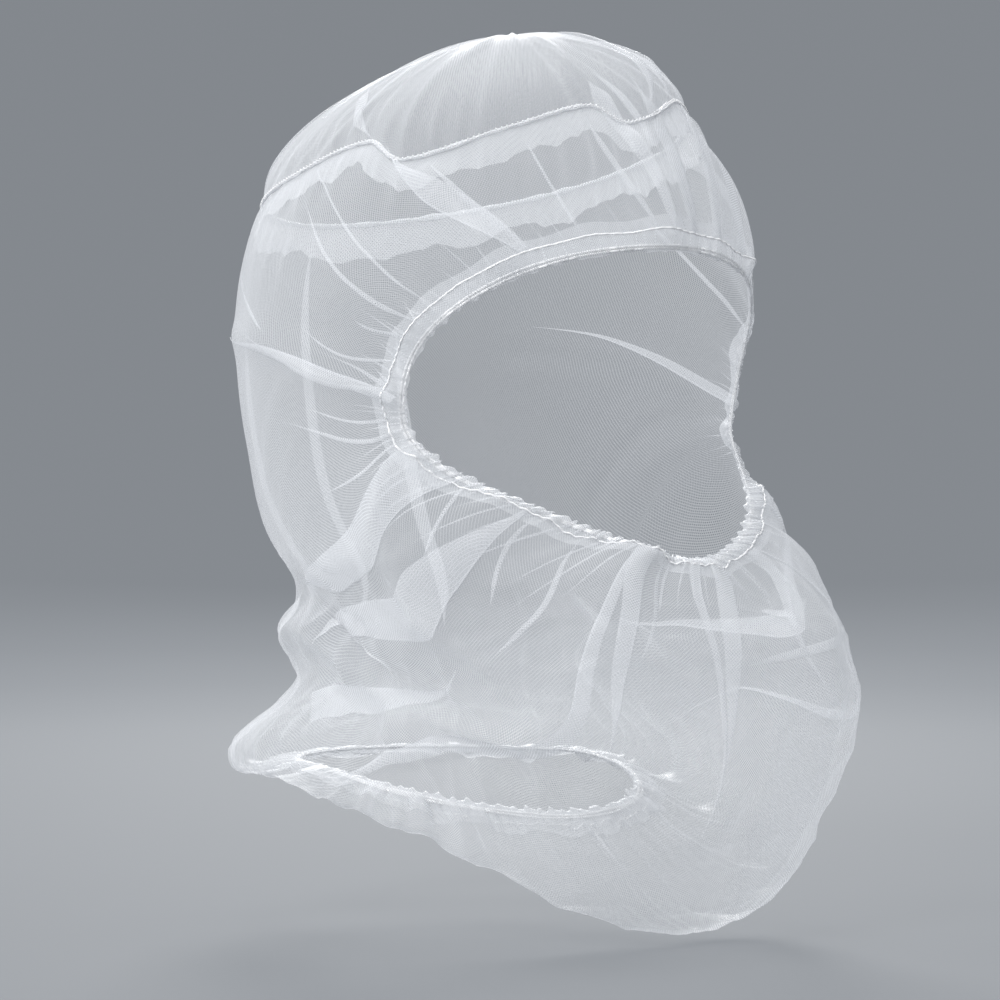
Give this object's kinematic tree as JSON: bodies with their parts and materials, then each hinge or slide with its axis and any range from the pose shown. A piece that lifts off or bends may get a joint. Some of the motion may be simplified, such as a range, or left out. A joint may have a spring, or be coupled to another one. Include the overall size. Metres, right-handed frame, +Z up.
{
  "type": "micromesh hood",
  "caption": "Sheer white nylon micromesh hood with an elasticated face opening, a round crown panel and a gathered bag over mouth and chin, in the form it has when worn.",
  "frame": {"origin": "on the inner face of the crown panel, where the hood rests on the top of the head", "axes": "+Z up, -Y the way the face looks, +X towards the wearer's left; the face opening and the neck opening are centred on X = 0"},
  "size_m": [0.176, 0.2368, 0.304],
  "materials": {
    "mesh_cloth": "sheer white micromesh",
    "crown_cloth": "sheer white micromesh",
    "seam_cloth": "doubled sheer white micromesh",
    "hem_cloth": "doubled, gathered white micromesh",
    "elastic_white": "matte white covered elastic"
  },
  "bodies": {
    "root": {"hood_panel": "mesh_cloth", "crown_panel": "crown_cloth", "crown_seam": "seam_cloth", "face_casing": "hem_cloth", "neck_casing": "hem_cloth", "face_elastic": "elastic_white", "neck_elastic": "elastic_white"}
  },
  "joints": []
}
